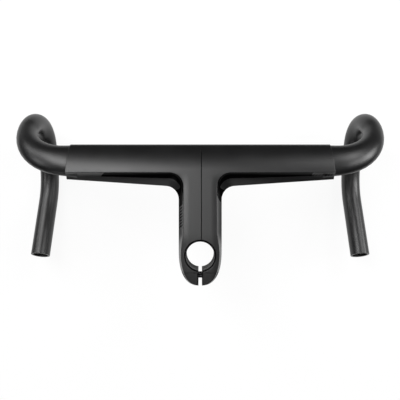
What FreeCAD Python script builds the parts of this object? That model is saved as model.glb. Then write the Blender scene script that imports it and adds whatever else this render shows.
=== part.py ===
import FreeCAD
import Part
import math
import os
from FreeCAD import Rotation, Vector

# Integrated road handlebar and stem: one hollow moulded shell with a split steerer clamp,
# two clamp bolts with their nuts, and two threaded inserts for a computer mount.
#
# Part frame: origin on the steerer bore's axis at the clamp's lower face, +Z up along the bore,
# +Y forward along the stem, +X towards the rider's right. All lengths are millimetres.
# The bar has a frame of its own: it turns the part frame nose down by bar_tilt about the bar's
# centre. The hooks are planned in it as a bent tube: straight, roll, radius, angle.

DIMENSIONS = (
    ("steerer_bore", 31.8, "diameter of the clamp's bore"),
    ("clamp_height", 40.0, "height of the clamp along the bore"),
    ("clamp_half_width", 24.6, "half width of the clamp at its widest"),
    ("clamp_top_half_width", 21.6, "half width of the clamp at its top face"),
    ("clamp_base_half_width", 20.6, "half width of the clamp at its lower face"),
    ("clamp_rear", 35.7, "from the bore's axis to the rear of the clamp"),
    ("clamp_edge_inset", 3.2, "how far the clamp's rear draws in at top and bottom"),
    ("clamp_roundness", 2.5, "exponent of the clamp's rear curve: 2 is an ellipse"),
    ("clamp_lean", 0.8, "exponent of the clamp's narrowing from lip to top"),
    ("flare_start", 12.0, "from the bore's front to where the stem widens"),
    ("flare_length", 22.0, "length over which it widens"),
    ("seat_diameter", 35.6, "recess round the top of the bore"),
    ("seat_depth", 1.5, "depth of that recess"),
    ("slot_width", 4.0, "width of the clamp's slot"),
    ("slot_chamfer", 1.2, "bevel along the slot's top edges"),
    ("seat_rim", 1.5, "top face left level behind the seat"),
    ("rear_slope_drop", 7.5, "fall of the top face behind that"),
    ("slope_radius", 6.0, "radius where it starts to fall"),
    ("stem_reach", 106.0, "from the bore's axis to the bar's centre"),
    ("bar_height", 20.0, "height of the bar's centre above the clamp's lower face"),
    ("bar_tilt", 17.0, "nose-down tilt of the bar"),
    ("stem_half_width", 19.0, "half width of the stem's top face at the bar"),
    ("stem_top_half_width", 18.1, "half width of the stem's top face at the clamp"),
    ("stem_base_half_width", 16.5, "half width of the stem's underside"),
    ("stem_flat", 20.0, "from the bore's axis to where the stem starts to fall"),
    ("stem_radius", 120.0, "radius of the top line there"),
    ("floor_reach", 20.0, "from the bore's front to where the underside starts to rise"),
    ("floor_radius", 60.0, "radius of the underside there"),
    ("keel_setback", 22.0, "from the bar's centre back to the underside's second bend"),
    ("keel_drop", 5.0, "how far that bend lies below the bar"),
    ("keel_radius", 15.0, "radius of that bend"),
    ("lip_height", 21.5, "height of the lip that runs round the whole shell"),
    ("lip_rear", 77.5, "from the bore's axis to the lip behind the bar, at the stem"),
    ("lip_rake", 8.5, "how much further forward that lip is at the tops' ends"),
    ("crease_rear", 93.2, "from the bore's axis to the crease above the bar's rear face"),
    ("scoop_power", 1.8, "hollowness of the faces between lip and crease"),
    ("brow_lean", 6.0, "rise of the rear face above the crease, for each millimetre forward"),
    ("under_run", 20.8, "how far the bar's rear underside runs forward below the lip"),
    ("under_drop", 12.0, "fall over that run"),
    ("under_power", 2.0, "roundness of that underside"),
    ("under_slope", 1.2, "its run for each millimetre of fall below that"),
    ("corner_radius", 15.5, "plan radius between stem and bar"),
    ("tops_half_length", 151.0, "from the middle to the shoulder where tape ends"),
    ("shoulder_slant", 5.2, "degrees that the shoulder leans in towards the front"),
    ("nose_length", 25.0, "from the bar's thickest place to its nose"),
    ("nose_radius", 7.0, "radius of the bar's nose"),
    ("nose_setback", 4.0, "from the bar's centre back to its thickest place"),
    ("bar_half_thickness", 10.9, "half thickness of the bar"),
    ("wall", 2.4, "wall of the moulding"),
    ("grip_inner", 20.0, "from the grip's centre to its inner edge at the shoulder"),
    ("grip_outer", 18.7, "from the grip's centre to its outer edge at the shoulder"),
    ("grip_half_depth", 9.4, "half of the grip's short axis at the shoulder"),
    ("tube_diameter", 23.8, "round tube of the hooks and drops"),
    ("grip_overlap", 11.0, "how far the grip starts inside the shoulder"),
    ("grip_straight", 17.4, "straight of the grip before the first bend"),
    ("bend_roll", 26.3, "how far the first bend dips below the bar's plane"),
    ("bend_radius", 51.1, "radius of the first bend"),
    ("bend_angle", 95.4, "turn of the first bend"),
    ("hook_roll", 86.0, "turn of the tube's bending plane after the first bend"),
    ("hook_upper_radius", 37.9, "radius at the top of the hook"),
    ("hook_upper_angle", 64.0, "turn at the top of the hook"),
    ("hook_lower_radius", 35.3, "radius at the front of the hook"),
    ("hook_lower_angle", 55.3, "turn at the front of the hook"),
    ("hook_straight", 27.0, "straight below the front of the hook"),
    ("drop_radius", 76.6, "radius from the hook into the drop"),
    ("drop_angle", 36.2, "turn from the hook into the drop"),
    ("drop_straight", 72.7, "straight end of the drop"),
    ("bolt_setback", 23.0, "from the bore's axis to the clamp bolts"),
    ("bolt_low", 11.0, "height of the lower clamp bolt"),
    ("bolt_spacing", 18.0, "height between the clamp bolts"),
    ("bolt_diameter", 5.0, "thread of the clamp bolts"),
    ("bolt_clearance", 0.25, "gap round the thread in the moulding"),
    ("bolt_seat", 8.5, "from the middle to the seats of bolt head and nut"),
    ("head_diameter", 8.5, "clamp bolt's head"),
    ("head_length", 5.0, "length of that head"),
    ("hex_flats", 4.0, "hex socket across its flats"),
    ("hex_depth", 2.6, "depth of the hex socket"),
    ("pocket_clearance", 0.5, "gap round bolt heads and nut flanges"),
    ("nut_flange", 8.5, "flange of the clamp nut"),
    ("nut_flange_length", 3.0, "length of that flange"),
    ("nut_sleeve", 7.0, "sleeve of the clamp nut"),
    ("nut_sleeve_length", 5.0, "length of that sleeve"),
    ("thread_gap", 0.05, "gap between thread flanks, taken as plain round"),
    ("insert_spacing", 24.0, "between the computer mount's two inserts"),
    ("insert_forward", 103.5, "from the bore's axis to the inserts"),
    ("insert_diameter", 7.0, "outside of an insert"),
    ("insert_thread", 5.0, "thread of an insert"),
    ("insert_length", 8.0, "length of an insert"),
    ("pad_width", 12.0, "width of the pad round the inserts"),
    ("pad_face", 9.0, "height of the pad's flat face"),
    ("pad_rise", 12.0, "height of the pad, most of it inside the shell"),
    ("port_diameter", 8.0, "cable port under each bend"),
    ("port_inset", 9.0, "from the shoulder out to the port"),
    ("exit_width", 16.0, "cable exit under the stem, across"),
    ("exit_length", 9.0, "cable exit under the stem, along"),
    ("exit_gap", 5.5, "moulding left between the bore and the space in the stem"),
    ("exit_setback", 2.0, "from there to the cable exit"),
    ("overshoot", 10.0, "how far cutting tools reach past a surface"),
)

doc = FreeCAD.newDocument("handlebar_stem")
sheet = doc.addObject("Spreadsheet::Sheet", "Dimensions")
for row, (alias, value, note) in enumerate(DIMENSIONS, start=1):
    sheet.set("A%d" % row, alias)
    sheet.set("B%d" % row, str(value))
    sheet.set("C%d" % row, note)
    sheet.setAlias("B%d" % row, alias)
doc.recompute()


def size(alias):
    """One driving dimension, read from the sheet."""
    return float(sheet.get(alias))


def bind(item, **formulas):
    """Tie an object's properties to the sheet."""
    for name, formula in formulas.items():
        item.setExpression(name.replace("__", "."), formula)
    return item


def primitive(kind, name, **formulas):
    """A Part primitive with its sizes and place tied to the sheet."""
    return bind(doc.addObject(kind, name), **formulas)


def solid_feature(name, shape):
    """A free-form solid that no stock feature makes."""
    feature = doc.addObject("Part::Feature", name)
    feature.Shape = shape
    return feature


def fuse(name, items):
    feature = doc.addObject("Part::MultiFuse", name)
    feature.Shapes = items
    return feature


def common(name, items):
    feature = doc.addObject("Part::MultiCommon", name)
    feature.Shapes = items
    return feature


def cut(name, base, tool):
    feature = doc.addObject("Part::Cut", name)
    feature.Base = base
    feature.Tool = tool
    return feature


def mirrored(name, source):
    """The same shape on the other side of the stem."""
    feature = doc.addObject("Part::Mirroring", name)
    feature.Source = source
    feature.Normal = Vector(1, 0, 0)
    return feature


def rounded_edges(points, radii):
    """Straight edges through the points, joined by tangent arcs at the inner points."""
    edges = []
    start = points[0]
    for index in range(1, len(points) - 1):
        corner = points[index]
        back = (points[index - 1] - corner).normalize()
        ahead = (points[index + 1] - corner).normalize()
        half = back.getAngle(ahead) / 2
        reach = radii[index - 1] / math.tan(half)
        arc_start = corner + back * reach
        arc_end = corner + ahead * reach
        inward = (back + ahead).normalize()
        middle = corner + inward * (radii[index - 1] / math.sin(half) - radii[index - 1])
        edges.append(Part.LineSegment(start, arc_start).toShape())
        edges.append(Part.Arc(arc_start, middle, arc_end).toShape())
        start = arc_end
    edges.append(Part.LineSegment(start, points[-1]).toShape())
    return edges


# Side profile of stem and bar, seen along X

TILT = math.radians(size("bar_tilt"))
HIDDEN_RADIUS = 1.0
BELOW_BASE = -1.0


def from_bar(x, y, z):
    """A point of the bar's own frame in the part's frame."""
    return Vector(x,
                  size("stem_reach") + y * math.cos(TILT) + z * math.sin(TILT),
                  size("bar_height") - y * math.sin(TILT) + z * math.cos(TILT))


class BarSection:
    """The bar's section, drawn in by inset: two flank arcs that run into a round nose."""

    def __init__(self, inset):
        nose = size("nose_radius") - inset
        self.reach = size("nose_length") - inset
        self.thick = size("bar_half_thickness") - inset
        run = self.reach - nose
        self.flank = (run ** 2 + self.thick ** 2 - nose ** 2) / (2 * (self.thick - nose))
        self.lean = math.asin(run / (self.flank - nose))

    def point(self, turn, side):
        """On the upper (side 1) or lower (side -1) flank, turned forward from its thickest place."""
        along = self.flank * math.sin(turn) - size("nose_setback")
        return from_bar(0, along, side * (self.thick - self.flank + self.flank * math.cos(turn)))

    def tip(self):
        """The foremost point of the nose."""
        return from_bar(0, self.reach - size("nose_setback"), 0)

    def centre(self):
        """Centre of the upper flank's arc."""
        return from_bar(0, -size("nose_setback"), self.thick - self.flank)

    def touch_turn(self, start):
        """Turn at which a straight line from start touches the upper flank."""
        line = start - self.centre()
        angle = math.atan2(line.z, line.y) - math.acos(self.flank / line.Length)
        return math.pi / 2 - angle - TILT


def top_start(inset):
    """Where the stem's top line starts to fall towards the bar."""
    return Vector(0, size("stem_flat"), size("clamp_height") - inset)


def crease_height():
    """Height of the top face where the bar's rear face meets it."""
    section = BarSection(0.0)
    start = top_start(0.0)
    touch = section.point(section.touch_turn(start), 1)
    share = (size("crease_rear") - start.y) / (touch.y - start.y)
    if share <= 1:
        return start.z + (touch.z - start.z) * share
    centre = section.centre()
    return centre.z + math.sqrt(section.flank ** 2 - (size("crease_rear") - centre.y) ** 2)


def brink():
    """From the bore's axis back to where the top face starts to fall."""
    return size("seat_diameter") / 2 + size("seat_rim")


def rear_fall():
    """Slope of the top face behind the bore."""
    return size("rear_slope_drop") / (size("clamp_rear") - brink())


def side_solid(inset, base):
    """Prism along X of the side view of clamp, stem and bar, drawn in by inset, its underside at base."""
    margin = size("overshoot")
    across = Vector(-size("tops_half_length") - margin, 0, 0)
    rear = -size("clamp_rear") - margin
    top = size("clamp_height") - inset
    section = BarSection(inset)
    turn = section.touch_turn(top_start(inset))
    touch = section.point(turn, 1)
    upper = section.point(section.lean, 1)
    lower = section.point(section.lean, -1)
    under = section.point(0.0, -1)
    outline = rounded_edges([Vector(0, rear, base), Vector(0, rear, top + (rear + brink()) * rear_fall()),
                             Vector(0, -brink(), top), top_start(inset), touch],
                            [HIDDEN_RADIUS, size("slope_radius"), size("stem_radius")])
    outline.append(Part.Arc(touch, section.point((turn + section.lean) / 2, 1), upper).toShape())
    outline.append(Part.Arc(upper, section.tip(), lower).toShape())
    outline.append(Part.Arc(lower, section.point(section.lean / 2, -1), under).toShape())
    keel = Vector(0, size("stem_reach") - size("keel_setback"), under.z - size("keel_drop"))
    level = Vector(0, size("steerer_bore") / 2 + size("floor_reach"), base)
    outline += rounded_edges([under, keel, level, Vector(0, rear, base)],
                             [size("keel_radius"), size("floor_radius")])
    face = Part.Face(Part.Wire(outline))
    face.translate(across)
    return face.extrude(across * -2)


# Shape of the shell's plan outline at a height

LIP = size("lip_height")
CREASE = crease_height()
FRONT_MARGIN = 40.0
FLARE_SHARES = (0.35, 0.7)
REAR_TURNS = (0, 25, 45, 62, 77)
SLANTED_WALL = 1.4
HOLLOW_RADIUS = 3.0


def rise_share(height):
    """How far the scooped face has drawn in, 0 at the lip and 1 at the crease."""
    t = min(max((height - LIP) / (CREASE - LIP), 0.0), 1.0)
    return 1 - (1 - t) ** size("scoop_power")


def under_share(height):
    """How round the underside is, 1 at the lip and 0 at the lower face."""
    u = (LIP - height) / LIP
    return math.sqrt(max(1 - u * u, 0.0))


def bar_rear(height, at_lip):
    """Where the bar's rear face lies at a height, from its place at the lip."""
    if height >= LIP:
        brow = max(height - CREASE, 0.0) / size("brow_lean")
        return at_lip + (size("crease_rear") - at_lip) * rise_share(height) + brow
    depth = (LIP - height) / size("under_drop")
    if depth <= 1:
        return at_lip + size("under_run") * depth ** size("under_power")
    return at_lip + size("under_run") * (1 + size("under_slope") * (depth - 1))


def stem_half(height):
    """Half width of the stem at a height."""
    lip = size("clamp_half_width")
    if height < LIP:
        base = size("stem_base_half_width")
        return base + (lip - base) * under_share(height)
    if height <= CREASE:
        return lip - (lip - size("stem_half_width")) * rise_share(height)
    climb = (height - CREASE) / (size("clamp_height") - CREASE)
    return size("stem_half_width") + (size("stem_top_half_width") - size("stem_half_width")) * climb


def clamp_half(height):
    """Half width of the clamp at a height."""
    lip = size("clamp_half_width")
    if height < LIP:
        base = size("clamp_base_half_width")
        return base + (lip - base) * under_share(height)
    climb = (height - LIP) / (size("clamp_height") - LIP)
    return lip - (lip - size("clamp_top_half_width")) * climb ** size("clamp_lean")


def clamp_end(height):
    """Rear end of the clamp at a height, as a Y coordinate."""
    inset = size("clamp_edge_inset")
    if height < LIP:
        return -size("clamp_rear") + inset * (1 - under_share(height))
    return -size("clamp_rear") + inset * (height - LIP) / (size("clamp_height") - LIP)


def clamp_curve(height):
    """The clamp's plan from one side of the stem round the rear to the other side."""
    half = stem_half(height)
    wide = clamp_half(height)
    end = clamp_end(height)
    power = 2 / size("clamp_roundness")
    start = size("steerer_bore") / 2 + size("flare_start")
    widest = start - size("flare_length")
    right = [Vector(half, start, height)]
    for share in FLARE_SHARES:
        blend = share * share * (3 - 2 * share)
        right.append(Vector(half + (wide - half) * blend, start - size("flare_length") * share, height))
    for degrees in REAR_TURNS:
        turn = math.radians(degrees)
        across = wide * math.cos(turn) ** power
        along = widest + (end - widest) * math.sin(turn) ** power
        right.append(Vector(across, along, height))
    left = [Vector(-p.x, p.y, p.z) for p in reversed(right)]
    curve = Part.BSplineCurve()
    curve.interpolate(right + [Vector(0, end, height)] + left,
                      InitialTangent=Vector(0, -1, 0), FinalTangent=Vector(0, 1, 0))
    return curve.toShape(), right[0], left[-1]


def shoulder(y, z, inset):
    """A point of the slanted shoulder at the tops' right end."""
    slant = math.tan(math.radians(size("shoulder_slant")))
    return Vector(size("tops_half_length") - inset - (y - size("stem_reach")) * slant, y, z)


def across_stem(point):
    return Vector(-point.x, point.y, point.z)


def shell_outline(height):
    """T-shaped plan of the shell at a height: bar, stem and clamp."""
    front = shoulder(size("stem_reach") + FRONT_MARGIN, height, 0.0)
    tip = shoulder(bar_rear(height, size("lip_rear") + size("lip_rake")), height, 0.0)
    corner = Vector(stem_half(height), bar_rear(height, size("lip_rear")), height)
    curve, right, left = clamp_curve(height)
    radius = size("corner_radius")
    edges = rounded_edges([front, tip], [])
    edges += rounded_edges([tip, corner, right], [radius])
    edges.append(curve)
    edges += rounded_edges([left, across_stem(corner), across_stem(tip)], [radius])
    edges += rounded_edges([across_stem(tip), across_stem(front), front], [HIDDEN_RADIUS])
    return Part.Wire(edges)


def hollow_outline(height):
    """T-shaped plan of the space inside the shell at a height."""
    wall = size("wall")
    rear_wall = wall * SLANTED_WALL
    half = stem_half(height) - wall
    front = shoulder(size("stem_reach") + FRONT_MARGIN / 2, height, wall)
    tip = shoulder(bar_rear(height, size("lip_rear") + size("lip_rake")) + rear_wall, height, wall)
    corner = Vector(half, bar_rear(height, size("lip_rear")) + rear_wall, height)
    end = Vector(half, size("steerer_bore") / 2 + size("exit_gap"), height)
    right = [front, tip, corner, end]
    points = right + [across_stem(point) for point in reversed(right)]
    radii = [HIDDEN_RADIUS, size("corner_radius") + wall, HOLLOW_RADIUS]
    edges = rounded_edges(points, radii + radii[::-1])
    edges.append(Part.LineSegment(points[-1], points[0]).toShape())
    return Part.Wire(edges)


LOWER_SHARES = (0.0, 0.25, 0.5, 0.76, 1.0)
UPPER_SHARES = (0.0, 0.22, 0.55, 1.0)
LOWER_LEVELS = [LIP * share for share in LOWER_SHARES]
UPPER_LEVELS = [LIP + (CREASE - LIP) * share for share in UPPER_SHARES]
UPPER_LEVELS.append(size("clamp_height") + size("overshoot"))


def plan_solid(outline):
    """Solid between the lower face and above the top, with a sharp lip half way up."""
    lower = Part.makeLoft([outline(level) for level in LOWER_LEVELS], True, False)
    upper = Part.makeLoft([outline(level) for level in UPPER_LEVELS], True, False)
    return lower.fuse(upper)


# Grip, bend and hook: a tube that starts oval inside the shoulder and becomes round

class TubeWalk:
    """Walks along a bent tube and keeps its place, heading, bending side and the oval's long axis."""

    def __init__(self, place, heading, side, chord):
        self.place = place
        self.heading = heading
        self.side = side
        self.chord = chord
        self.along = 0.0
        self.edges = []
        self.stations = [(0.0, place, heading, chord)]

    def straight(self, length):
        end = self.place + self.heading * length
        self.edges.append(Part.LineSegment(self.place, end).toShape())
        self.place = end
        self.along += length
        self.stations.append((self.along, self.place, self.heading, self.chord))

    def roll(self, degrees):
        self.side = Rotation(self.heading, degrees).multVec(self.side)

    def bend(self, radius, degrees, step):
        """One arc, with a station after about each step of its turn."""
        centre = self.place + self.side * radius
        axis = self.heading.cross(self.side)
        arm = self.place - centre
        heading, side, chord = self.heading, self.side, self.chord
        count = math.ceil(degrees / step)
        for index in range(1, count + 1):
            turn = Rotation(axis, degrees * index / count)
            self.place = centre + turn.multVec(arm)
            self.heading = turn.multVec(heading)
            self.side = turn.multVec(side)
            self.chord = turn.multVec(chord)
            self.along += radius * math.radians(degrees) / count
            self.stations.append((self.along, self.place, self.heading, self.chord))
        middle = centre + Rotation(axis, degrees / 2).multVec(arm)
        self.edges.append(Part.Arc(centre + arm, middle, self.place).toShape())


ROUND_ENOUGH = 0.001
BEND_STEP = 8.0
GRIP_START = size("tops_half_length") - size("grip_overlap")


def bar_direction(x, y, z):
    return from_bar(x, y, z) - from_bar(0, 0, 0)


grip = TubeWalk(from_bar(GRIP_START, 0, 0), bar_direction(1, 0, 0),
                bar_direction(0, 1, 0), bar_direction(0, 1, 0))
grip.straight(size("grip_straight") / 2)
grip.straight(size("grip_straight") / 2)
grip.roll(-size("bend_roll"))
grip.bend(size("bend_radius"), size("bend_angle"), BEND_STEP)

hook = TubeWalk(grip.place, grip.heading, grip.side, grip.chord)
hook.roll(-size("hook_roll"))
hook.bend(size("hook_upper_radius"), size("hook_upper_angle"), BEND_STEP)
hook.bend(size("hook_lower_radius"), size("hook_lower_angle"), BEND_STEP)
hook.straight(size("hook_straight"))
hook.bend(size("drop_radius"), size("drop_angle"), BEND_STEP)
drop_start = hook.place
hook.straight(size("drop_straight"))


def oval(place, heading, chord, half_chord, half_depth):
    """Closed ellipse of the tube's section, square to its heading."""
    if half_chord - half_depth < ROUND_ENOUGH:
        curve = Part.Circle(place, heading, half_depth)
        curve.XAxis = chord
    else:
        up = heading.cross(chord)
        curve = Part.Ellipse(place + chord * half_chord, place + up * half_depth, place)
    return Part.Wire(curve.toShape())


def grip_solid(inset):
    """Oval to round tube from inside the shoulder to the end of the first bend."""
    tube = size("tube_diameter") / 2 - inset
    sections = []
    for along, place, heading, chord in grip.stations:
        share = along / grip.along
        inner = tube + (size("grip_inner") - inset - tube) * (1 - share * share)
        outer = tube + (size("grip_outer") - inset - tube) * (1 - share) ** 2
        half_depth = tube + (size("grip_half_depth") - inset - tube) * (1 - share) ** 1.5
        middle = place + chord * ((inner - outer) / 2)
        sections.append(oval(middle, heading, chord, (inner + outer) / 2, half_depth))
    return Part.makeLoft(sections, True, True)


def hook_outside(radius):
    """Round tube from the first bend to the open end of the drop."""
    ring = oval(grip.place, grip.heading, grip.chord, radius, radius)
    return Part.Wire(hook.edges).makePipeShell([ring], True, False)


def hook_inside(radius):
    """Space inside that tube, straight bored at the open end."""
    rings = [oval(place, heading, chord, radius, radius)
             for along, place, heading, chord in hook.stations[:-1]]
    bends = Part.makeLoft(rings, True, True)
    end = Part.makeCylinder(radius, size("drop_straight") + size("overshoot"), drop_start, hook.heading)
    return bends.fuse(end)


# The shell's outside: clamp, stem and tops in one piece, with a grip and hook at each end
TUBE_RADIUS = size("tube_diameter") / 2
shell_core = common("shell_core", [solid_feature("shell_plan", plan_solid(shell_outline)),
                                   solid_feature("shell_profile", side_solid(0.0, BELOW_BASE))])
right_arm = fuse("right_arm", [solid_feature("right_grip", grip_solid(0.0)),
                               solid_feature("right_hook", hook_outside(TUBE_RADIUS))])
left_arm = mirrored("left_arm", right_arm)
pad_half = "Dimensions.insert_spacing / 2 + Dimensions.pad_width / 2"
mount_pad = primitive("Part::Box", "mount_pad", Length="2 * (" + pad_half + ")",
                      Width="Dimensions.pad_width", Height="Dimensions.pad_rise",
                      Placement__Base__x="-(" + pad_half + ")",
                      Placement__Base__y="Dimensions.insert_forward - Dimensions.pad_width / 2",
                      Placement__Base__z="Dimensions.pad_face")

# The space inside, open at the drops
hollow_core = common("hollow_core", [solid_feature("hollow_plan", plan_solid(hollow_outline)),
                                     solid_feature("hollow_profile", side_solid(size("wall"), size("wall")))])
right_hollow = fuse("right_hollow",
                    [solid_feature("right_grip_hollow", grip_solid(size("wall"))),
                     solid_feature("right_hook_hollow", hook_inside(TUBE_RADIUS - size("wall")))])
left_hollow = mirrored("left_hollow", right_hollow)
hollow = fuse("hollow", [hollow_core, right_hollow, left_hollow])
moulding = cut("moulding", fuse("outside", [shell_core, right_arm, left_arm]), hollow)
padded = fuse("padded", [moulding, mount_pad])

# Openings cut after moulding
through = "Dimensions.clamp_height + 2 * Dimensions.overshoot"
bore = primitive("Part::Cylinder", "bore", Radius="Dimensions.steerer_bore / 2", Height=through,
                 Placement__Base__z="-Dimensions.overshoot")
seat = primitive("Part::Cylinder", "seat", Radius="Dimensions.seat_diameter / 2",
                 Height="Dimensions.overshoot",
                 Placement__Base__z="Dimensions.clamp_height - Dimensions.seat_depth")
slot = primitive("Part::Box", "slot", Length="Dimensions.slot_width",
                 Width="Dimensions.clamp_rear + Dimensions.overshoot", Height=through,
                 Placement__Base__x="-Dimensions.slot_width / 2",
                 Placement__Base__y="-Dimensions.clamp_rear - Dimensions.overshoot",
                 Placement__Base__z="-Dimensions.overshoot")

# A square bar on edge, laid along the sloping top face, bevels the slot's upper edges
slot_bevel = doc.addObject("Part::Box", "slot_bevel")
bevel_rear = -size("clamp_rear") - size("overshoot")
slot_bevel.Placement = FreeCAD.Placement(
    Vector(0, bevel_rear, size("clamp_height") + (bevel_rear + brink()) * rear_fall()),
    Rotation(Vector(1, 0, 0), math.degrees(math.atan(rear_fall()))) * Rotation(Vector(0, 1, 0), 45))
bevel_side = "(Dimensions.slot_width + 2 * Dimensions.slot_chamfer) / sqrt(2)"
bind(slot_bevel, Length=bevel_side, Height=bevel_side, Width="-Placement.Base.y",
     Placement__Base__x="-Dimensions.slot_width / 2 - Dimensions.slot_chamfer")
openings = [bore, seat, slot, slot_bevel]
ACROSS = Rotation(Vector(0, 1, 0), 90)
BOLT_HEIGHTS = {"lower": "Dimensions.bolt_low", "upper": "Dimensions.bolt_low + Dimensions.bolt_spacing"}


def crosswise(name, radius_formula, length_formula, start_formula, height_formula):
    """Cylinder along X at the clamp bolts' setback, from start towards +X."""
    rod = doc.addObject("Part::Cylinder", name)
    rod.Placement = FreeCAD.Placement(Vector(0, 0, 0), ACROSS)
    return bind(rod, Radius=radius_formula, Height=length_formula, Placement__Base__x=start_formula,
                Placement__Base__y="-Dimensions.bolt_setback", Placement__Base__z=height_formula)


POCKET = "Dimensions.clamp_half_width + Dimensions.overshoot - Dimensions.bolt_seat"
hardware = []
for level, height in BOLT_HEIGHTS.items():
    openings.append(crosswise(level + "_bolt_hole",
                              "Dimensions.bolt_diameter / 2 + Dimensions.bolt_clearance",
                              "2 * (Dimensions.bolt_seat + Dimensions.pocket_clearance)",
                              "-Dimensions.bolt_seat - Dimensions.pocket_clearance", height))
    openings.append(crosswise(level + "_head_pocket",
                              "Dimensions.head_diameter / 2 + Dimensions.pocket_clearance",
                              POCKET, "Dimensions.bolt_seat", height))
    openings.append(crosswise(level + "_nut_pocket",
                              "Dimensions.nut_flange / 2 + Dimensions.pocket_clearance",
                              POCKET, "-Dimensions.bolt_seat - (" + POCKET + ")", height))
    openings.append(crosswise(level + "_sleeve_hole",
                              "Dimensions.nut_sleeve / 2 + Dimensions.bolt_clearance / 2",
                              "Dimensions.nut_sleeve_length + Dimensions.pocket_clearance",
                              "-Dimensions.bolt_seat", height))
    head = crosswise(level + "_head", "Dimensions.head_diameter / 2", "Dimensions.head_length",
                     "Dimensions.bolt_seat", height)
    shank = crosswise(level + "_shank", "Dimensions.bolt_diameter / 2",
                      "2 * Dimensions.bolt_seat + Dimensions.nut_flange_length",
                      "-Dimensions.bolt_seat - Dimensions.nut_flange_length", height)
    socket = doc.addObject("Part::Prism", level + "_socket")
    socket.Polygon = 6
    socket.Placement = FreeCAD.Placement(Vector(0, 0, 0), ACROSS)
    bind(socket, Circumradius="Dimensions.hex_flats / sqrt(3)", Height="Dimensions.hex_depth",
         Placement__Base__x="Dimensions.bolt_seat + Dimensions.head_length - Dimensions.hex_depth",
         Placement__Base__y="-Dimensions.bolt_setback", Placement__Base__z=height)
    hardware.append(cut(level + "_clamp_bolt", fuse(level + "_blank", [head, shank]), socket))
    flange = crosswise(level + "_flange", "Dimensions.nut_flange / 2",
                       "Dimensions.nut_flange_length",
                       "-Dimensions.bolt_seat - Dimensions.nut_flange_length", height)
    sleeve = crosswise(level + "_sleeve", "Dimensions.nut_sleeve / 2",
                       "Dimensions.nut_sleeve_length", "-Dimensions.bolt_seat", height)
    thread = crosswise(level + "_thread", "Dimensions.bolt_diameter / 2 + Dimensions.thread_gap",
                       "2 * (" + POCKET + ")", "-(" + POCKET + ")", height)
    hardware.append(cut(level + "_clamp_nut", fuse(level + "_nut_blank", [flange, sleeve]), thread))

for side, sign in (("left", "-1"), ("right", "1")):
    place = dict(Placement__Base__x=sign + " * Dimensions.insert_spacing / 2",
                 Placement__Base__y="Dimensions.insert_forward")
    openings.append(primitive("Part::Cylinder", side + "_insert_hole",
                              Radius="Dimensions.insert_diameter / 2",
                              Height="Dimensions.insert_length + Dimensions.overshoot",
                              Placement__Base__z="Dimensions.pad_face - Dimensions.overshoot", **place))
    sleeve = primitive("Part::Cylinder", side + "_insert_blank",
                       Radius="Dimensions.insert_diameter / 2", Height="Dimensions.insert_length",
                       Placement__Base__z="Dimensions.pad_face", **place)
    thread = primitive("Part::Cylinder", side + "_insert_thread",
                       Radius="Dimensions.insert_thread / 2",
                       Height="Dimensions.insert_length + 2 * Dimensions.overshoot",
                       Placement__Base__z="Dimensions.pad_face - Dimensions.overshoot", **place)
    hardware.append(cut(side + "_mount_insert", sleeve, thread))

openings.append(primitive("Part::Box", "cable_exit", Length="Dimensions.exit_width",
                          Width="Dimensions.exit_length", Height="2 * Dimensions.overshoot",
                          Placement__Base__x="-Dimensions.exit_width / 2",
                          Placement__Base__y="Dimensions.steerer_bore / 2 + Dimensions.exit_gap"
                                             " + Dimensions.exit_setback",
                          Placement__Base__z="-Dimensions.overshoot"))
port_place = from_bar(size("tops_half_length") + size("port_inset"), 0, 0)
port = doc.addObject("Part::Cylinder", "right_port")
port.Placement = FreeCAD.Placement(port_place, Rotation(Vector(0, 0, 1), bar_direction(0, 0, -1)))
bind(port, Radius="Dimensions.port_diameter / 2", Height="Dimensions.tube_diameter")
openings += [port, mirrored("left_port", port)]

body = cut("cockpit_body", padded, fuse("openings", openings))
nodes = [body] + hardware
for node in nodes:
    node.Label = node.Name
doc.recompute()

for item in doc.Objects:
    if "Invalid" in item.State or "Error" in item.State:
        raise RuntimeError(item.Name + " failed: " + str(item.State))
for node in nodes:
    if node.Shape.isNull() or not node.Shape.isValid():
        raise RuntimeError(node.Name + " is not a valid shape")
os.makedirs("parts", exist_ok=True)
for node in nodes:
    node.Shape.exportStep("parts/" + node.Label + ".step")
    box = node.Shape.BoundBox
    print("%-20s solids %d volume %9.1f box %s" % (
        node.Label, len(node.Shape.Solids), node.Shape.Volume,
        [round(v, 2) for v in (box.XMin, box.XMax, box.YMin, box.YMax, box.ZMin, box.ZMax)]))
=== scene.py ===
"""Dresses a one-piece road handlebar and stem: carbon shell, clamp hardware and studio."""
import math

import bmesh
import bpy
from mathutils import Matrix, Vector


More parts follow.
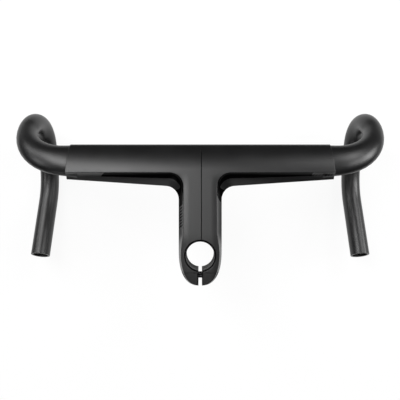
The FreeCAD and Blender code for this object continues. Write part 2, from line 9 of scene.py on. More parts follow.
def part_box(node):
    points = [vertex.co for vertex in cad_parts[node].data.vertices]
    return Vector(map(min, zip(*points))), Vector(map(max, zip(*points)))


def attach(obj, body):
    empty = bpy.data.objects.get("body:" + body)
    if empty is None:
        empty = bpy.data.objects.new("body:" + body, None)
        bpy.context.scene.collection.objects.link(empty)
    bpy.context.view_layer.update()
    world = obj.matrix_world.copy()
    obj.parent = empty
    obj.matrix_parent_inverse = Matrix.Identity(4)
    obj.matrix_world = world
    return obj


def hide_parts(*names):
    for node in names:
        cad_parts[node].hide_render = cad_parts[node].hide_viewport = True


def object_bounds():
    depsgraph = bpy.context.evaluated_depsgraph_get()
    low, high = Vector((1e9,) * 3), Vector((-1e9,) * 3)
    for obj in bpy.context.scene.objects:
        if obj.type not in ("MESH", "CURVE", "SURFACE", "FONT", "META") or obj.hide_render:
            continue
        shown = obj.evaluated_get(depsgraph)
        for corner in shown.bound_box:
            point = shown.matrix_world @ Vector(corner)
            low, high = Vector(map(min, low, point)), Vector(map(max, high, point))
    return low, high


bl_info = {
    "name": "Handlebar Dressing",
    "version": (1, 0, 0),
    "blender": (4, 5, 0),
    "location": "View3D > Sidebar > Handlebar",
    "description": "Finishes a one-piece road handlebar with its clamp hardware and studio",
    "category": "Object",
}

MM = 0.001
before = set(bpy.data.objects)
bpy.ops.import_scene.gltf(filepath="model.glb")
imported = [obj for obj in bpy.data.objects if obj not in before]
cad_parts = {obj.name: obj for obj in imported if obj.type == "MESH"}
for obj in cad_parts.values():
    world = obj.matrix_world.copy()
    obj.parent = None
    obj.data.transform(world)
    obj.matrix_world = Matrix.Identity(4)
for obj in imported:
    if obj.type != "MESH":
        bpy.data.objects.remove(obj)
CAD_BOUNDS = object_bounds()
LEVELS = ("upper", "lower")
INSERTS = ("left_mount_insert", "right_mount_insert")
IMAGE_SIZE = 400

# Places on the shell: Y forward from the bore's axis, Z up, radii from that axis
BORE_RADIUS = 15.95 * MM
SEAT_INNER_RADIUS = 16.5 * MM
SEAT_OUTER_RADIUS = 17.95 * MM
SEAT_HEIGHT = 38 * MM
CREASE_FORWARD = 93.2 * MM
BAND_FRONT = 93.35 * MM
FOOT_CLIMB = (66 * MM, 78 * MM)
SEAM_LOWEST = 22 * MM
SEAM_START = 17.9 * MM
SEAM_END = 119 * MM
CROWN_FRONT = 86 * MM
CROWN_LOWEST = 33.5 * MM
CROWN_ACROSS = (11 * MM, 24 * MM)

# Lean of the bands' ends and of the slashes, for each millimetre of height
BAND_LEAN = 0.8
SLASH_LEAN = 0.43

# Surfaces
NOISE_RANGE = (0.3, 0.7)
SEAT_ROUGHNESS = 0.6
LACQUER_SPECULAR = 0.5
BLACK_SPECULAR = 0.02

# Meshes
WELD_DISTANCE = 0.002 * MM
FLAT_FOLD = math.radians(4)
ANY_SHAPE = math.radians(180)
OWN_SHARE = 1e-6

# Fasteners
HEAD_LENGTH = 5 * MM
BOLT_THREAD_RADIUS = 2.48 * MM
INSERT_THREAD_RADIUS = 2.5 * MM
KNURL_RIDGE = 0.16 * MM
KNURL_LENGTH = 3.6 * MM
KNURL_SETBACK = 2.6 * MM

# Studio
FLOOR_REACH = 0.5
FLOOR_GAP = 2 * MM
PAPER_GLOW = 0.9
LIT_POINT = Vector((0, 0.07, 0.02))


# Properties

class ShellFinish(bpy.types.PropertyGroup):
    """Colours, sheen and printed bands of the moulded shell."""
    carbon: bpy.props.FloatVectorProperty(
        name="Carbon", description="Colour of the matte lacquer", subtype="COLOR", size=3,
        default=(0.004, 0.004, 0.0042), min=0.0, max=1.0)
    # Colour of the printed gloss bands, and also of the painted shade in the seat recess and along
    # the seam groove.
    print_and_shade_black: bpy.props.FloatVectorProperty(
        name="Gloss black", description="Colour of the printed gloss bands",
        subtype="COLOR", size=3, default=(0.001, 0.001, 0.001), min=0.0, max=1.0)
    bare_carbon: bpy.props.FloatVectorProperty(
        name="Bare carbon", description="Colour of the unlacquered bore", subtype="COLOR", size=3,
        default=(0.11, 0.11, 0.11), min=0.0, max=1.0)
    matte_roughness: bpy.props.FloatProperty(
        name="Matte roughness", description="Roughness of the matte lacquer",
        default=0.37, min=0.0, max=1.0)
    gloss_roughness: bpy.props.FloatProperty(
        name="Gloss roughness", description="Roughness of the gloss bands",
        default=0.10, min=0.0, max=1.0)
    edge_radius: bpy.props.FloatProperty(
        name="Edge radius", description="Softness of the shell's creases", unit="LENGTH",
        default=1.1 * MM, min=0.0)
    crown: bpy.props.FloatProperty(
        name="Crown", description="Fall of the stem's top towards its creases", unit="LENGTH",
        default=1.2 * MM)
    sharp_angle: bpy.props.FloatProperty(
        name="Sharp angle", description="Edges that fold more than this stay sharp",
        subtype="ANGLE", default=math.radians(28))
    crease_height: bpy.props.FloatProperty(
        name="Crease height", description="Height of the crease over the rear face",
        unit="LENGTH", default=33.8 * MM)
    stem_rise: bpy.props.FloatProperty(
        name="Stem rise", description="How steeply the stem's top climbs to the rear",
        default=0.0854)
    band_foot: bpy.props.FloatProperty(
        name="Band foot", description="Height of the gloss band's lower edge on the bar",
        unit="LENGTH", default=26.2 * MM)
    stem_band_foot: bpy.props.FloatProperty(
        name="Stem band foot", description="Height of that edge along the stem",
        unit="LENGTH", default=13.0 * MM)
    left_band_start: bpy.props.FloatProperty(
        name="Left band start", description="Where the left band starts along the bar",
        unit="LENGTH", default=-113.0 * MM)
    left_band_end: bpy.props.FloatProperty(
        name="Left band end", description="Where the left band ends along the stem",
        unit="LENGTH", default=30.6 * MM)
    left_hatch_start: bpy.props.FloatProperty(
        name="Left hatch start", description="Where the left band breaks into slashes",
        unit="LENGTH", default=56.5 * MM)
    right_band_start: bpy.props.FloatProperty(
        name="Right band start", description="Where the right band's slashes start",
        unit="LENGTH", default=150.5 * MM)
    right_hatch_end: bpy.props.FloatProperty(
        name="Right hatch end", description="Where the slashes close into the right band",
        unit="LENGTH", default=127.0 * MM)
    right_band_end: bpy.props.FloatProperty(
        name="Right band end", description="Where the right band ends along the stem",
        unit="LENGTH", default=64.5 * MM)
    hatch_pitch: bpy.props.FloatProperty(
        name="Slash pitch", description="Distance between the slashes", unit="LENGTH",
        default=3.4 * MM)
    seam_place: bpy.props.FloatProperty(
        name="Seam place", description="Where the stem's long seam lies across", unit="LENGTH",
        default=1.35 * MM)
    seam_width: bpy.props.FloatProperty(
        name="Seam width", description="Width of that seam", unit="LENGTH", default=0.9 * MM)


class HardwareFinish(bpy.types.PropertyGroup):
    """Sizes and colours of the clamp's fasteners and the inserts."""
    steel: bpy.props.FloatVectorProperty(
        name="Black steel", description="Colour of the blackened bolts", subtype="COLOR", size=3,
        default=(0.035, 0.035, 0.038), min=0.0, max=1.0)
    alloy: bpy.props.FloatVectorProperty(
        name="Black alloy", description="Colour of the anodised nuts and inserts",
        subtype="COLOR", size=3, default=(0.05, 0.05, 0.054), min=0.0, max=1.0)
    thread_pitch: bpy.props.FloatProperty(
        name="Thread pitch", description="Pitch of the M5 threads", unit="LENGTH",
        default=0.8 * MM)
    thread_ridge: bpy.props.FloatProperty(
        name="Thread ridge", description="Height of a thread's ridge", unit="LENGTH",
        default=0.13 * MM)
    knurl_count: bpy.props.IntProperty(
        name="Knurls", description="Ridges round a bolt head", default=36, min=3)


class StudioSetup(bpy.types.PropertyGroup):
    """Camera and lamps."""
    camera_height: bpy.props.FloatProperty(
        name="Camera height", description="Camera above the clamp's lower face",
        default=0.685, unit="LENGTH")
    camera_forward: bpy.props.FloatProperty(
        name="Camera forward", description="Camera ahead of the steerer's axis",
        default=0.0623, unit="LENGTH")
    camera_across: bpy.props.FloatProperty(
        name="Camera across", description="Camera to the rider's right",
        default=-0.25 * MM, unit="LENGTH")
    focal_pixels: bpy.props.FloatProperty(
        name="Focal length", description="Focal length in pixels of the square picture",
        default=580.0)
    lamp_distance: bpy.props.FloatProperty(
        name="Lamp distance", description="Distance of the softboxes", default=1.3, unit="LENGTH")
    ambient: bpy.props.FloatProperty(
        name="Ambient", description="Strength of the room's even light", default=0.02, min=0.0)


# Node helpers

def new_material(name):
    """A node material with its shader and output."""
    material = bpy.data.materials.new(name)
    material.use_nodes = True
    tree = material.node_tree
    tree.nodes.clear()
    shader = tree.nodes.new("ShaderNodeBsdfPrincipled")
    output = tree.nodes.new("ShaderNodeOutputMaterial")
    tree.links.new(shader.outputs["BSDF"], output.inputs["Surface"])
    return material, tree, shader


def feed(tree, socket, value):
    """Sets a socket to a number, or links it to another socket."""
    if isinstance(value, bpy.types.NodeSocket):
        tree.links.new(value, socket)
    else:
        socket.default_value = value


def number(tree, operation, *values):
    """Result of a Math node."""
    node = tree.nodes.new("ShaderNodeMath")
    node.operation = operation
    for socket, value in zip(node.inputs, values):
        feed(tree, socket, value)
    return node.outputs[0]


def product(tree, *masks):
    """All masks multiplied."""
    result = masks[0]
    for mask in masks[1:]:
        result = number(tree, "MULTIPLY", result, mask)
    return result


def rise(tree, value, low, high):
    """Mask that climbs from 0 at low to 1 at high, or falls where low is above high."""
    node = tree.nodes.new("ShaderNodeMapRange")
    node.interpolation_type = "SMOOTHSTEP"
    feed(tree, node.inputs["Value"], value)
    feed(tree, node.inputs["From Min"], min(low, high))
    feed(tree, node.inputs["From Max"], max(low, high))
    feed(tree, node.inputs["To Min"], 0.0 if low < high else 1.0)
    feed(tree, node.inputs["To Max"], 1.0 if low < high else 0.0)
    return node.outputs["Result"]


def above(tree, value, edge, soft):
    return rise(tree, value, edge - soft, edge + soft)


def below(tree, value, edge, soft):
    return rise(tree, value, edge + soft, edge - soft)


def split(tree, vector):
    """The three parts of a vector."""
    node = tree.nodes.new("ShaderNodeSeparateXYZ")
    tree.links.new(vector, node.inputs[0])
    return node.outputs


def object_coordinates(tree):
    return tree.nodes.new("ShaderNodeTexCoord").outputs["Object"]


def stretched(tree, where, scale):
    """Object coordinates scaled by a different factor along each axis."""
    node = tree.nodes.new("ShaderNodeMapping")
    node.inputs["Scale"].default_value = scale
    tree.links.new(where, node.inputs["Vector"])
    return node.outputs["Vector"]


def noise(tree, where, scale, detail):
    node = tree.nodes.new("ShaderNodeTexNoise")
    node.inputs["Scale"].default_value = scale
    node.inputs["Detail"].default_value = detail
    tree.links.new(where, node.inputs["Vector"])
    return node.outputs["Fac"]


def spread(tree, value, low, high):
    """Noise turned into a plain range."""
    node = tree.nodes.new("ShaderNodeMapRange")
    feed(tree, node.inputs["Value"], value)
    node.inputs["From Min"].default_value = NOISE_RANGE[0]
    node.inputs["From Max"].default_value = NOISE_RANGE[1]
    node.inputs["To Min"].default_value = low
    node.inputs["To Max"].default_value = high
    return node.outputs["Result"]


def mix_colour(tree, amount, base, top):
    node = tree.nodes.new("ShaderNodeMix")
    node.data_type = "RGBA"
    feed(tree, node.inputs[0], amount)
    feed(tree, node.inputs[6], base)
    feed(tree, node.inputs[7], top)
    return node.outputs[2]


def mix_number(tree, amount, base, top):
    node = tree.nodes.new("ShaderNodeMix")
    feed(tree, node.inputs[0], amount)
    feed(tree, node.inputs[2], base)
    feed(tree, node.inputs[3], top)
    return node.outputs[0]


def bump(tree, height, strength, distance, normal=None):
    node = tree.nodes.new("ShaderNodeBump")
    node.inputs["Strength"].default_value = strength
    node.inputs["Distance"].default_value = distance
    tree.links.new(height, node.inputs["Height"])
    if normal is not None:
        tree.links.new(normal, node.inputs["Normal"])
    return node.outputs["Normal"]


# Materials

def slashes(tree, along, up, pitch):
    """Slanted stripes, as wide as their gaps."""
    slant = number(tree, "SUBTRACT", along, number(tree, "MULTIPLY", up, SLASH_LEAN))
    turn = number(tree, "FRACT", number(tree, "DIVIDE", slant, pitch))
    return product(tree, rise(tree, turn, 0.02, 0.12), rise(tree, turn, 0.62, 0.52))


def gloss_bands(tree, finish, where):
    """Mask of the printed gloss bands on the scooped faces between lip and crease."""
    x, y, z = split(tree, where)
    soft = 0.15 * MM
    foot = mix_number(tree, rise(tree, y, *FOOT_CLIMB), finish.stem_band_foot, finish.band_foot)
    past_crease = number(tree, "SUBTRACT", y, CREASE_FORWARD)
    under_top = number(tree, "ADD", z, number(tree, "MULTIPLY", past_crease, finish.stem_rise))
    strip = product(tree, below(tree, y, BAND_FRONT, 0.05 * MM),
                    above(tree, number(tree, "SUBTRACT", z, foot), 0.0, 0.3 * MM),
                    below(tree, under_top, finish.crease_height - 0.3 * MM, 0.1 * MM))
    slant = number(tree, "MULTIPLY", number(tree, "SUBTRACT", z, finish.band_foot), BAND_LEAN)
    leaning_x = number(tree, "SUBTRACT", x, slant)
    leaning_y = number(tree, "SUBTRACT", y, slant)

    left = product(tree, below(tree, x, 0.0, soft),
                   above(tree, leaning_x, finish.left_band_start, soft),
                   above(tree, y, finish.left_band_end, soft))
    left_solid = above(tree, leaning_y, finish.left_hatch_start, soft)
    left_marks = number(tree, "MAXIMUM", left_solid, slashes(tree, y, z, finish.hatch_pitch))

    right = product(tree, above(tree, x, 0.0, soft), below(tree, x, finish.right_band_start, soft),
                    above(tree, leaning_y, finish.right_band_end - 2 * MM, soft))
    right_solid = below(tree, x, finish.right_hatch_end, soft)
    right_marks = number(tree, "MAXIMUM", right_solid, slashes(tree, x, z, finish.hatch_pitch))
    sides = number(tree, "ADD", product(tree, left, left_marks), product(tree, right, right_marks))
    return product(tree, strip, sides)


def carbon_material(finish):
    """Matte lacquered carbon with its gloss bands and bare bore, and black painted shade along the
    long seam's groove and in the seat recess round the bore.
    """
    material, tree, shader = new_material("matte_carbon")
    where = object_coordinates(tree)
    x, y, z = split(tree, where)
    bands = gloss_bands(tree, finish, where)

    radius = number(tree, "SQRT", number(tree, "ADD", number(tree, "MULTIPLY", x, x),
                                         number(tree, "MULTIPLY", y, y)))
    # Seat ring round the bore, painted black: painted shade of the shadowed recess wall and its
    # step.
    seat = product(tree, below(tree, radius, SEAT_OUTER_RADIUS, 0.05 * MM),
                   above(tree, radius, SEAT_INNER_RADIUS, 0.1 * MM),
                   above(tree, z, SEAT_HEIGHT, 0.3 * MM))
    bore = product(tree, below(tree, radius, BORE_RADIUS, 0.05 * MM),
                   below(tree, z, SEAT_HEIGHT, 0.3 * MM))

    # The seam along the stem's top is a bump groove, and it is also painted black as painted shade
    # of that groove.
    off_seam = number(tree, "ABSOLUTE", number(tree, "SUBTRACT", x, finish.seam_place))
    on_top = product(tree, above(tree, z, SEAM_LOWEST, 1 * MM),
                     above(tree, y, SEAM_START, 0.2 * MM), below(tree, y, SEAM_END, 6 * MM))
    seam = product(tree, below(tree, off_seam, finish.seam_width / 2, 0.1 * MM), on_top)

    streaks = noise(tree, stretched(tree, where, (30.0, 500.0, 500.0)), 1.0, 4.0)
    mottle = noise(tree, where, 45.0, 2.0)
    grain = noise(tree, where, 2600.0, 2.0)
    shade = number(tree, "MULTIPLY", spread(tree, streaks, 0.97, 1.03),
                   spread(tree, mottle, 0.93, 1.07))
    tint = tree.nodes.new("ShaderNodeVectorMath")
    tint.operation = "SCALE"
    tint.inputs[0].default_value = finish.carbon
    tree.links.new(shade, tint.inputs["Scale"])
    plain = mix_colour(tree, bore, tint.outputs[0], (*finish.bare_carbon, 1))
    # Black covers the printed bands and the painted shade of the seat recess and the seam groove,
    # and gets almost no specular below.
    black = number(tree, "MAXIMUM", number(tree, "MAXIMUM", bands, seat), seam)
    colour = mix_colour(tree, black, plain, (*finish.print_and_shade_black, 1))
    tree.links.new(colour, shader.inputs["Base Color"])

    matte = number(tree, "ADD", finish.matte_roughness, spread(tree, mottle, -0.02, 0.02))
    sleek = mix_number(tree, bands, matte, finish.gloss_roughness)
    roughness = mix_number(tree, number(tree, "MAXIMUM", seat, seam), sleek, SEAT_ROUGHNESS)
    tree.links.new(roughness, shader.inputs["Roughness"])
    dull = mix_number(tree, bore, LACQUER_SPECULAR, 0.0)
    specular = mix_number(tree, black, dull, BLACK_SPECULAR)
    tree.links.new(specular, shader.inputs["Specular IOR Level"])

    edges = tree.nodes.new("ShaderNodeBevel")
    edges.samples = 6
    edges.inputs["Radius"].default_value = finish.edge_radius
    across = number(tree, "ABSOLUTE", x)
    stem_top = product(tree, below(tree, y, CROWN_FRONT, 8 * MM),
                       above(tree, z, CROWN_LOWEST, 0.3 * MM))
    fall = number(tree, "POWER", rise(tree, across, *CROWN_ACROSS), 1.5)
    crown = bump(tree, number(tree, "SUBTRACT", 1.0, product(tree, fall, stem_top)), 1.0,
                 finish.crown, edges.outputs["Normal"])
    groove = bump(tree, number(tree, "SUBTRACT", 1.0, seam), 1.0, 0.4 * MM, crown)
    tree.links.new(bump(tree, grain, 0.1, 0.05 * MM, groove), shader.inputs["Normal"])
    return material


def metal_material(name, colour, roughness, ring_scale):
    """Blackened metal with fine marks from turning."""
    material, tree, shader = new_material(name)
    where = object_coordinates(tree)
    rings = noise(tree, stretched(tree, where, (ring_scale, 120.0, 120.0)), 1.0, 3.0)
    wear = noise(tree, where, 700.0, 2.0)
    tint = tree.nodes.new("ShaderNodeVectorMath")
    tint.operation = "SCALE"
    tint.inputs[0].default_value = colour
    tree.links.new(spread(tree, wear, 0.8, 1.3), tint.inputs["Scale"])
    tree.links.new(tint.outputs[0], shader.inputs["Base Color"])
    shader.inputs["Metallic"].default_value = 1.0
    tree.links.new(number(tree, "ADD", roughness, spread(tree, rings, -0.05, 0.05)),
                   shader.inputs["Roughness"])
    tree.links.new(bump(tree, rings, 0.2, 0.02 * MM), shader.inputs["Normal"])
    return material


def give(piece, material):
    """One material for the whole piece."""
    piece.data.materials.clear()
    piece.data.materials.append(material)


# Meshes

def weld(mesh):
    """Merges the loose corners of a CAD node's triangles and pairs them into even quads."""
    work = bmesh.new()
    work.from_mesh(mesh)
    bmesh.ops.remove_doubles(work, verts=work.verts, dist=WELD_DISTANCE)
    bmesh.ops.join_triangles(work, faces=work.faces, angle_face_threshold=FLAT_FOLD,
                             angle_shape_threshold=ANY_SHAPE)
    work.to_mesh(mesh)
    work.free()


def smooth_within(mesh, limit):
    """Smooths each corner over the faces at its vertex that fold less than the limit."""
    around = [[] for _ in mesh.vertices]
    for face in mesh.polygons:
        ring = list(face.vertices)
        for turn, index in enumerate(ring):
            here = mesh.vertices[index].co
            back = mesh.vertices[ring[turn - 1]].co - here
            ahead = mesh.vertices[ring[(turn + 1) % len(ring)]].co - here
            around[index].append((face.normal.copy(), back.angle(ahead, 0.0)))
    nearly = math.cos(limit)
    normals = [None] * len(mesh.loops)
    for face in mesh.polygons:
        own = face.normal
        for loop, index in zip(face.loop_indices, face.vertices):
            total = own * OWN_SHARE
            for normal, corner in around[index]:
                if own.dot(normal) > nearly:
                    total = total + normal * corner
            normals[loop] = total.normalized()
    mesh.normals_split_custom_set(normals)


def open_tree(name, sizes):
    """A Geometry Nodes tree with named number inputs, and its group input and output."""
    tree = bpy.data.node_groups.new(name, "GeometryNodeTree")
    for size in sizes:
        kind = "NodeSocketInt" if size == "Count" else "NodeSocketFloat"
        tree.interface.new_socket(size, in_out="INPUT", socket_type=kind)
    tree.interface.new_socket("Finish", in_out="INPUT", socket_type="NodeSocketMaterial")
    tree.interface.new_socket("Geometry", in_out="OUTPUT", socket_type="NodeSocketGeometry")
    return tree, tree.nodes.new("NodeGroupInput").outputs, tree.nodes.new("NodeGroupOutput")


def finish_tree(tree, instances, sizes, output):
    """Realizes the instances and gives them their material."""
    realize = tree.nodes.new("GeometryNodeRealizeInstances")
    paint = tree.nodes.new("GeometryNodeSetMaterial")
    tree.links.new(instances, realize.inputs["Geometry"])
    tree.links.new(realize.outputs["Geometry"], paint.inputs["Geometry"])
    tree.links.new(sizes["Finish"], paint.inputs["Material"])
    tree.links.new(paint.outputs["Geometry"], output.inputs["Geometry"])


def thread_tree():
    """Round ridges in a row along X: the crests of a thread."""
    tree, sizes, output = open_tree("thread_crests", ("Radius", "Ridge", "Pitch", "Count"))
    turn = tree.nodes.new("GeometryNodeCurvePrimitiveCircle")
    turn.inputs["Resolution"].default_value = 32
    tree.links.new(sizes["Radius"], turn.inputs["Radius"])
    crest = tree.nodes.new("GeometryNodeCurvePrimitiveCircle")
    crest.inputs["Resolution"].default_value = 6
    tree.links.new(sizes["Ridge"], crest.inputs["Radius"])
    ring = tree.nodes.new("GeometryNodeCurveToMesh")
    tree.links.new(turn.outputs["Curve"], ring.inputs["Curve"])
    tree.links.new(crest.outputs["Curve"], ring.inputs["Profile Curve"])
    row = tree.nodes.new("GeometryNodeMeshLine")
    offset = tree.nodes.new("ShaderNodeCombineXYZ")
    tree.links.new(sizes["Pitch"], offset.inputs["X"])
    tree.links.new(offset.outputs["Vector"], row.inputs["Offset"])
    tree.links.new(sizes["Count"], row.inputs["Count"])
    place = tree.nodes.new("GeometryNodeInstanceOnPoints")
    place.inputs["Rotation"].default_value = (0, math.pi / 2, 0)
    tree.links.new(row.outputs["Mesh"], place.inputs["Points"])
    tree.links.new(ring.outputs["Mesh"], place.inputs["Instance"])
    finish_tree(tree, place.outputs["Instances"], sizes, output)
    return tree


def knurl_tree():
    """Straight ridges round a cylinder that lies along X."""
    tree, sizes, output = open_tree("head_knurls", ("Radius", "Ridge", "Length", "Count"))
    ridge = tree.nodes.new("GeometryNodeMeshCylinder")
    ridge.inputs["Vertices"].default_value = 6
    tree.links.new(sizes["Ridge"], ridge.inputs["Radius"])
    tree.links.new(sizes["Length"], ridge.inputs["Depth"])
    ring = tree.nodes.new("GeometryNodeMeshCircle")
    tree.links.new(sizes["Radius"], ring.inputs["Radius"])
    tree.links.new(sizes["Count"], ring.inputs["Vertices"])
    place = tree.nodes.new("GeometryNodeInstanceOnPoints")
    tree.links.new(ring.outputs["Mesh"], place.inputs["Points"])
    tree.links.new(ridge.outputs["Mesh"], place.inputs["Instance"])
    lay = tree.nodes.new("GeometryNodeTransform")
    lay.inputs["Rotation"].default_value = (0, math.pi / 2, 0)
    tree.links.new(place.outputs["Instances"], lay.inputs["Geometry"])
    finish_tree(tree, lay.outputs["Geometry"], sizes, output)
    return tree


def grown(name, tree, values, place):
    """A piece made by a tree, baked to a plain mesh and moved to its place."""
    piece = bpy.data.objects.new(name, bpy.data.meshes.new(name))
    bpy.context.scene.collection.objects.link(piece)
    modifier = piece.modifiers.new("growth", "NODES")
    modifier.node_group = tree
    for item in tree.interface.items_tree:
        if item.in_out == "INPUT":
            modifier[item.identifier] = values[item.name]
    ready = piece.evaluated_get(bpy.context.evaluated_depsgraph_get())
    mesh = bpy.data.meshes.new_from_object(ready)
    piece.modifiers.clear()
    piece.data = mesh
    mesh.transform(place)
    mesh.shade_smooth()
    return piece


def box_centre(node):
    lo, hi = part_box(node)
    return (Vector(lo) + Vector(hi)) / 2


# Operators

class HANDLEBAR_OT_shell(bpy.types.Operator):
    """Smooths the moulded shell and gives it its lacquer and bands, with painted shade along the
    seam groove and in the seat recess
    """
    bl_idname = "handlebar.shell"
    bl_label = "Moulded shell"

    def execute(self, context):
        finish = context.scene.handlebar_shell
        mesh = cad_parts["cockpit_body"].data.copy()
        shell = bpy.data.objects.new("carbon_shell", mesh)
        context.scene.collection.objects.link(shell)
        weld(mesh)
        mesh.shade_smooth()
        smooth_within(mesh, finish.sharp_angle)
        give(shell, carbon_material(finish))
        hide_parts("cockpit_body")
        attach(shell, "root")
        return {"FINISHED"}


class HANDLEBAR_OT_bolts(bpy.types.Operator):
    """Blackens the clamp bolts and grows their threads and knurled heads"""
    bl_idname = "handlebar.bolts"
    bl_label = "Clamp bolts"

    def execute(self, context):
        finish = context.scene.handlebar_hardware
        steel = metal_material("black_steel", finish.steel, 0.34, 4000.0)
        threads = thread_tree()
        knurls = knurl_tree()
        for level in LEVELS:
            node = level + "_clamp_bolt"
            give(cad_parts[node], steel)
            lo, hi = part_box(node)
            axis_y = (lo[1] + hi[1]) / 2
            axis_z = (lo[2] + hi[2]) / 2
            nut_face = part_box(level + "_clamp_nut")[1][0]
            seat = hi[0] - HEAD_LENGTH
            count = int((seat - nut_face) / finish.thread_pitch)
            first_crest = nut_face + finish.thread_pitch / 2
            crests = grown(level + "_bolt_thread", threads,
                           {"Radius": BOLT_THREAD_RADIUS, "Ridge": finish.thread_ridge,
                            "Pitch": finish.thread_pitch, "Count": count, "Finish": steel},
                           Matrix.Translation((first_crest, axis_y, axis_z)))
            ridges = grown(level + "_bolt_knurls", knurls,
                           {"Radius": (hi[1] - lo[1]) / 2, "Ridge": KNURL_RIDGE,
                            "Length": KNURL_LENGTH, "Count": finish.knurl_count,
                            "Finish": steel},
                           Matrix.Translation((hi[0] - KNURL_SETBACK, axis_y, axis_z)))
            for piece in (crests, ridges):
                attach(piece, "root")
        return {"FINISHED"}


class HANDLEBAR_OT_nuts(bpy.types.Operator):
    """Anodises the clamp nuts and the mount inserts and threads the inserts"""
    bl_idname = "handlebar.nuts"
    bl_label = "Nuts and inserts"

    def execute(self, context):
        finish = context.scene.handlebar_hardware
        alloy = metal_material("black_alloy", finish.alloy, 0.38, 3000.0)
        for level in LEVELS:
            give(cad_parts[level + "_clamp_nut"], alloy)
        threads = thread_tree()
        upright = Matrix.Rotation(-math.pi / 2, 4, "Y")
        for node in INSERTS:
            give(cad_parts[node], alloy)
            lo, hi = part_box(node)
            middle = box_centre(node)
            count = int((hi[2] - lo[2]) / finish.thread_pitch)
            foot = Vector((middle.x, middle.y, lo[2] + finish.thread_pitch / 2))
            crests = grown(node + "_thread", threads,
                           {"Radius": INSERT_THREAD_RADIUS, "Ridge": finish.thread_ridge,
                            "Pitch": finish.thread_pitch, "Count": count, "Finish": alloy},
                           Matrix.Translation(foot) @ upright)
            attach(crests, "root")
        return {"FINISHED"}


# Each softbox: its bearing from the rider's right, its height angle, its side length and its power
SOFTBOXES = {
    "zenith_softbox": (135.0, 70.0, 0.5, 4.4),
    "top_left_softbox": (135.0, 59.0, 0.55, 5.0),
    "front_left_softbox": (135.0, 42.0, 0.5, 4.2),
    "front_right_softbox": (45.0, 42.0, 0.5, 5.3),
    "overhead_softbox": (270.0, 88.0, 0.5, 1.2),
    "left_softbox": (180.0, 31.0, 0.5, 3.0),
    "low_front_left_softbox": (150.0, 20.0, 0.4, 2.5),
    "right_softbox": (5.0, 45.0, 0.4, 3.2),
    "low_right_softbox": (10.0, 20.0, 0.5, 8.5),
    "rear_softbox": (270.0, 42.0, 0.5, 1.4),
    "low_left_softbox": (240.0, 20.0, 0.5, 1.0),
}


def softbox(name, place, side, power):
    """A square lamp that points at the middle of the handlebar."""
    lamp = bpy.data.lights.new(name, "AREA")
    lamp.shape = "RECTANGLE"
    lamp.size = side
    lamp.size_y = side
    lamp.energy = power
    holder = bpy.data.objects.new(name, lamp)
    holder.location = place
    holder.rotation_euler = (LIT_POINT - place).to_track_quat("-Z", "Y").to_euler()
    bpy.context.scene.collection.objects.link(holder)


def paper_material():
    """Pale floor that the camera sees as nearly white, with the object's shadow kept."""
    material, tree, shader = new_material("floor_paper")
    shader.inputs["Base Color"].default_value = (0.85, 0.85, 0.85, 1)
    shader.inputs["Roughness"].default_value = 0.9
    glow = tree.nodes.new("ShaderNodeEmission")
    glow.inputs["Color"].default_value = (1, 1, 1, 1)
    path = tree.nodes.new("ShaderNodeLightPath")
    seen = number(tree, "MAXIMUM", number(tree, "MAXIMUM", path.outputs["Is Camera Ray"],
                                          path.outputs["Is Glossy Ray"]),
                  path.outputs["Is Transmission Ray"])
    mix = tree.nodes.new("ShaderNodeMixShader")
    tree.links.new(number(tree, "MULTIPLY", seen, PAPER_GLOW), mix.inputs["Fac"])
    tree.links.new(shader.outputs["BSDF"], mix.inputs[1])
    tree.links.new(glow.outputs["Emission"], mix.inputs[2])
    output = next(node for node in tree.nodes if node.type == "OUTPUT_MATERIAL")
    tree.links.new(mix.outputs["Shader"], output.inputs["Surface"])
    return material


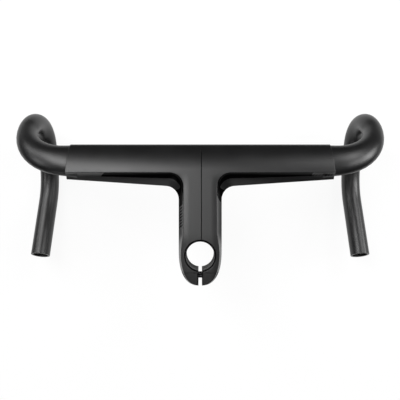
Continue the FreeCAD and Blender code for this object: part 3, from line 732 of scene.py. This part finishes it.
class HANDLEBAR_OT_studio(bpy.types.Operator):
    """Lays the pale floor, hangs the softboxes and sets the camera"""
    bl_idname = "handlebar.studio"
    bl_label = "Studio"

    def execute(self, context):
        scene = context.scene
        studio = scene.handlebar_studio
        mesh = bpy.data.meshes.new("floor")
        level = CAD_BOUNDS[0][2] - FLOOR_GAP
        corners = [(x * FLOOR_REACH, y * FLOOR_REACH, level)
                   for x, y in ((-1, -1), (1, -1), (1, 1), (-1, 1))]
        mesh.from_pydata(corners, [], [(0, 1, 2, 3)])
        floor = bpy.data.objects.new("floor", mesh)
        scene.collection.objects.link(floor)
        give(floor, paper_material())

        world = bpy.data.worlds.new("studio")
        scene.world = world
        world.use_nodes = True
        sky = world.node_tree.nodes["Background"]
        sky.inputs["Color"].default_value = (1, 1, 1, 1)
        path = world.node_tree.nodes.new("ShaderNodeLightPath")
        blend = world.node_tree.nodes.new("ShaderNodeMapRange")
        blend.inputs["To Min"].default_value = studio.ambient
        blend.inputs["To Max"].default_value = 1.0
        world.node_tree.links.new(path.outputs["Is Camera Ray"], blend.inputs["Value"])
        world.node_tree.links.new(blend.outputs["Result"], sky.inputs["Strength"])

        for name, (bearing, height, side, power) in SOFTBOXES.items():
            turn = math.radians(bearing)
            lift = math.radians(height)
            aim = Vector((math.cos(lift) * math.cos(turn), math.cos(lift) * math.sin(turn),
                          math.sin(lift)))
            softbox(name, LIT_POINT + aim * studio.lamp_distance, side, power)

        data = bpy.data.cameras.new("camera")
        data.sensor_width = 36.0
        data.lens = studio.focal_pixels * data.sensor_width / IMAGE_SIZE
        camera = bpy.data.objects.new("camera", data)
        camera.location = (studio.camera_across, studio.camera_forward, studio.camera_height)
        camera.rotation_euler = (0, 0, 0)
        scene.collection.objects.link(camera)
        scene.camera = camera
        scene.view_settings.view_transform = "Standard"
        return {"FINISHED"}


class HANDLEBAR_PT_panel(bpy.types.Panel):
    """Shows a button for each dressing step"""
    bl_idname = "HANDLEBAR_PT_panel"
    bl_label = "Handlebar"
    bl_space_type = "VIEW_3D"
    bl_region_type = "UI"
    bl_category = "Handlebar"

    def draw(self, context):
        for step in STEPS:
            self.layout.operator(step.bl_idname)


GROUPS = {"handlebar_shell": ShellFinish, "handlebar_hardware": HardwareFinish,
          "handlebar_studio": StudioSetup}
STEPS = (HANDLEBAR_OT_shell, HANDLEBAR_OT_bolts, HANDLEBAR_OT_nuts, HANDLEBAR_OT_studio)
CLASSES = (*GROUPS.values(), *STEPS, HANDLEBAR_PT_panel)


def register():
    for item in CLASSES:
        bpy.utils.register_class(item)
    for name, group in GROUPS.items():
        setattr(bpy.types.Scene, name, bpy.props.PointerProperty(type=group))


def unregister():
    for name in GROUPS:
        delattr(bpy.types.Scene, name)
    for item in reversed(CLASSES):
        bpy.utils.unregister_class(item)


def main():
    register()
    bpy.ops.handlebar.shell()
    bpy.ops.handlebar.bolts()
    bpy.ops.handlebar.nuts()
    bpy.ops.handlebar.studio()


if __name__ == "__main__":
    main()
